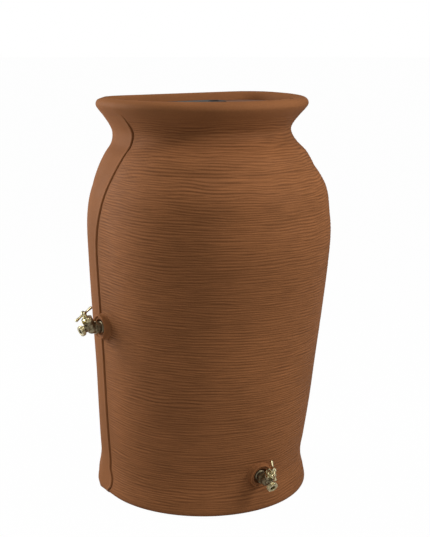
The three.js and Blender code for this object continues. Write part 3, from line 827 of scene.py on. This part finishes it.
def ring_row(half_width, z, straight, back, corner, half):
    """Evenly spaced points round a level section, half of them on each side."""
    whole, _ = section_lengths(half_width, straight, back, corner, 0)
    x, y, _, _ = on_section(np.linspace(0, whole, half), half_width, straight, back, corner)
    return level_row(x, y, z)


def stadium(length, width, z, count=72):
    """A slot's outline at a height, as a ring of points."""
    straight = (length - width) / 2
    radius = width / 2
    angles = np.linspace(0, 2 * math.pi, count, endpoint=False)
    x = radius * np.cos(angles) + np.where(np.cos(angles) >= 0, straight, -straight)
    return np.column_stack([x, radius * np.sin(angles) + INLET_Y, np.full(count, z)])


def planter():
    """The drop-in planter: a flange on the ledge, a rounded bowl, drain holes and the inlet slot."""
    top, low = DECK_TOP, DECK_LOW.z
    edge_width, edge_back, edge_corner = DECK_HIGH.x, DECK_HIGH.y, 0.0645

    def edge(inset, z):
        return ring_row(edge_width - inset, z, 0, edge_back - inset, edge_corner - inset, 60)

    def bowl(draft, z, inset=0.0):
        off = draft + inset
        return ring_row(BOWL_HALF_WIDTH - off, z, BOWL_BACK, BOWL_BACK - off, BOWL_CORNER - off, 60)

    inner_floor = low + BOWL_WALL
    rows = [
        bowl(0.024, low), bowl(0.0185, low + 0.002), bowl(0.0155, low + 0.006), bowl(0.013, low + 0.016),
        bowl(0.0004, top - FLANGE - 0.004), bowl(-0.003, top - FLANGE),
        edge(0.0, top - FLANGE), edge(0.0, top - 0.0012), edge(0.0004, top - 0.0004), edge(0.0013, top),
        bowl(-0.006, top), bowl(-0.0035, top - 0.0005), bowl(-0.0015, top - 0.0018),
        bowl(-0.0002, top - 0.004, BOWL_WALL), bowl(0.013, inner_floor + 0.014, BOWL_WALL),
        bowl(0.0155, inner_floor + 0.006, BOWL_WALL), bowl(0.0185, inner_floor + 0.002, BOWL_WALL),
        bowl(0.024, inner_floor, BOWL_WALL),
    ]
    piece = mesh_object("planter_bowl", np.vstack(rows), capped_faces(len(rows), len(rows[0])))
    slot_rows = [stadium(*INLET_SLOT, top - 0.012), stadium(*INLET_SLOT, top + 0.012)]
    tools = [mesh_object("slot", np.vstack(slot_rows), capped_faces(2, len(slot_rows[0])), False)]
    for x, y in ((-0.090, -0.060), (0.090, -0.060), (0, -0.060), (-0.045, -0.120), (0.045, -0.120)):
        hole = lathe("drain", [(0, -12), (5, -12), (5, 12), (0, 12)], 32,
                     Matrix.Translation((x, y, low)))
        tools.append(hole)
    carve(piece, *tools)
    return finish(sharpen(piece, 35), PLANTER_PLASTIC, "planter_plastic", "planter", "planter_insert")


def screen_basket():
    """The basket's lip, skirt and inner ledge, swept round a slot outline."""
    low, high = SCREEN_LOW.z, SCREEN_HIGH.z
    length, width = BASKET
    seat = MESH_LOW.z - 0.0003

    def row(out, z):
        return stadium(length + 2 * out, width + 2 * out, z)

    rows = [
        row(-0.0054, low), row(-0.0003, low), row(0, low + 0.0004), row(0, high - 0.0032),
        row(0.0083, high - 0.0030), row(0.0085, high - 0.0025), row(0.0085, high - 0.0010),
        row(0.0078, high - 0.0002), row(0.0070, high), row(-0.0016, high), row(-0.0022, high - 0.0004),
        row(-0.0024, high - 0.0012), row(-0.0024, seat), row(-0.0054, seat),
    ]
    piece = mesh_object("inlet_basket", np.vstack(rows), tube_faces(len(rows), len(rows[0])))
    return finish(sharpen(piece, 35), SCREEN_PLASTIC, "screen_plastic", "inlet_screen", "screen_frame")


def wire_mesh():
    """Woven wire cloth in the basket, held in a thin rim."""
    wire = 0.00032
    pitch = 0.0034
    middle = (MESH_LOW.z + MESH_HIGH.z) / 2
    half_length = (MESH_HIGH.x - MESH_LOW.x) / 2 - 0.001
    half_width = (MESH_HIGH.y - MESH_LOW.y) / 2 - 0.001
    paths = []
    count_x, count_y = int(half_length / pitch), int(half_width / pitch)

    def reach(offset, long_way):
        """How far a wire runs inside the rounded rim."""
        if long_way:
            return half_length - half_width + math.sqrt(max(0, half_width**2 - offset**2))
        over = max(0, abs(offset) - (half_length - half_width))
        return math.sqrt(max(0, half_width**2 - over**2))

    for i in range(-count_x, count_x + 1):
        x = i * pitch
        span = reach(x, False)
        ys = np.linspace(-span, span, max(2, int(2 * span / (pitch / 3))))
        weave = wire * np.cos(math.pi * (ys / pitch + i))
        paths.append([(x, y + INLET_Y, middle + w) for y, w in zip(ys, weave)])
    for j in range(-count_y, count_y + 1):
        y = j * pitch
        span = reach(y, True)
        xs = np.linspace(-span, span, max(2, int(2 * span / (pitch / 3))))
        weave = -wire * np.cos(math.pi * (xs / pitch + j))
        paths.append([(x, y + INLET_Y, middle + w) for x, w in zip(xs, weave)])
    points, faces = [], []
    sides = 5
    for path in paths:
        path = np.array(path)
        ahead = np.gradient(path, axis=0)
        ahead /= np.linalg.norm(ahead, axis=1)[:, None]
        across = np.cross(ahead, (0, 0, 1.0))
        across /= np.linalg.norm(across, axis=1)[:, None]
        up = np.cross(across, ahead)
        start = len(points)
        for p, a, u in zip(path, across, up):
            for k in range(sides):
                angle = 2 * math.pi * k / sides
                points.append(p + wire * (math.cos(angle) * a + math.sin(angle) * u))
        faces += [[start + n for n in quad] for quad in grid_faces(len(path), sides)]
        faces.append([start + k for k in range(sides)][::-1])
        faces.append([start + (len(path) - 1) * sides + k for k in range(sides)])
    cloth = mesh_object("inlet_wire_cloth", points, faces)
    finish(cloth, STEEL, "mesh_steel", "inlet_screen", "screen_mesh")
    outer = 2 * half_width + 0.0016
    rows = [
        stadium(2 * half_length + 0.0016 - cut, outer - cut, z)
        for cut, z in ((0, MESH_LOW.z), (0, MESH_HIGH.z), (0.004, MESH_HIGH.z), (0.004, MESH_LOW.z))
    ]
    rim = mesh_object("inlet_wire_rim", np.vstack(rows), tube_faces(len(rows), len(rows[0])))
    return finish(sharpen(rim, 35), STEEL, "mesh_steel", "inlet_screen")


# ---------------------------------------------------------------- camera, floor and light


FLOOR_GLOW = 0.985  # the share of white in the floor as the camera sees it, which leaves a faint shadow


def camera():
    made = bpy.data.cameras.new("camera")
    made.sensor_width = 36
    made.lens = 76.07
    made.shift_x = 0.0245
    seen = bpy.data.objects.new("camera", made)
    azimuth, pitch, away, height = math.radians(-32.37), math.radians(12.06), 2.7, 1.110
    seen.location = (math.sin(azimuth) * away, -math.cos(azimuth) * away, height)
    seen.rotation_euler = (math.pi / 2 - pitch, 0, azimuth)
    bpy.context.scene.collection.objects.link(seen)
    bpy.context.scene.camera = seen


def floor():
    """A wide pale disc just under the tank, which the camera sees as almost white."""
    rings = [0.5, 2, 8, 40]
    segments = 64
    level = -0.0004
    points = [(0, 0, level)]
    for radius in rings:
        for k in range(segments):
            angle = 2 * math.pi * k / segments
            points.append((radius * math.cos(angle), radius * math.sin(angle), level))
    faces = [[0, 1 + k, 1 + (k + 1) % segments] for k in range(segments)]
    for ring in range(len(rings) - 1):
        start = 1 + ring * segments
        for k in range(segments):
            n = (k + 1) % segments
            faces.append([start + k, start + k + segments, start + n + segments, start + n])
    piece = mesh_object("floor", points, faces)
    made, nodes, links, shader = material("pale_floor")
    clouds = noise_node(nodes, links, 2.0, 2.0)
    stops = [(0.3, (0.60, 0.60, 0.60)), (0.7, (0.62, 0.62, 0.62))]
    tint = ramp_node(nodes, links, clouds.outputs["Fac"], stops)
    links.new(tint.outputs["Color"], shader.inputs["Base Color"])
    shader.inputs["Roughness"].default_value = 0.9
    shader.inputs["Specular IOR Level"].default_value = 0.1
    glow = nodes.new("ShaderNodeEmission")
    glow.inputs["Strength"].default_value = 1.0
    path = nodes.new("ShaderNodeLightPath")
    share = range_node(nodes, links, path.outputs["Is Camera Ray"], 0.0, FLOOR_GLOW)
    mix = nodes.new("ShaderNodeMixShader")
    links.new(share, mix.inputs["Fac"])
    links.new(shader.outputs["BSDF"], mix.inputs[1])
    links.new(glow.outputs["Emission"], mix.inputs[2])
    links.new(mix.outputs["Shader"], nodes["Material Output"].inputs["Surface"])
    piece.data.materials.append(made)


def area_light(name, place, target, size, power):
    made = bpy.data.lights.new(name, "AREA")
    made.shape = "RECTANGLE"
    made.size, made.size_y = size
    made.energy = power
    lamp = bpy.data.objects.new(name, made)
    lamp.location = place
    aim = Vector(target) - Vector(place)
    lamp.rotation_euler = aim.to_track_quat("-Z", "Y").to_euler()
    bpy.context.scene.collection.objects.link(lamp)


def lights():
    """A tall softbox behind on the left, a smaller one high in front on the right, and weaker fills."""
    area_light("left_box", (-1.85, 2.0, 1.3), (0, 0, 0.5), (1.3, 2.0), 90)
    area_light("right_box", (1.65, -1.95, 1.9), (0, 0, 0.45), (0.8, 1.1), 50)
    area_light("top_box", (-0.3, -0.9, 2.9), (0, 0, 0.5), (1.6, 1.6), 28)
    area_light("front_fill", (-1.7, -2.9, 1.6), (0, 0, 0.4), (1.6, 1.6), 8)
    world = bpy.data.worlds.new("studio")
    world.use_nodes = True
    nodes, links = world.node_tree.nodes, world.node_tree.links
    background = nodes["Background"]
    background.inputs["Color"].default_value = (1, 1, 1, 1)
    background.inputs["Strength"].default_value = 0.26
    seen = nodes.new("ShaderNodeBackground")
    seen.inputs["Color"].default_value = (1, 1, 1, 1)
    seen.inputs["Strength"].default_value = 1.0
    path = nodes.new("ShaderNodeLightPath")
    mix = nodes.new("ShaderNodeMixShader")
    links.new(path.outputs["Is Camera Ray"], mix.inputs["Fac"])
    links.new(background.outputs["Background"], mix.inputs[1])
    links.new(seen.outputs["Background"], mix.inputs[2])
    links.new(mix.outputs["Shader"], nodes["World Output"].inputs["Surface"])
    bpy.context.scene.world = world
    bpy.context.scene.view_settings.view_transform = "Standard"


# ---------------------------------------------------------------- the scene

camera()
tank_skin()
planter()
screen_basket()
wire_mesh()
tap("side", 11)
tap("front", -17)
carried_over()
floor()
lights()
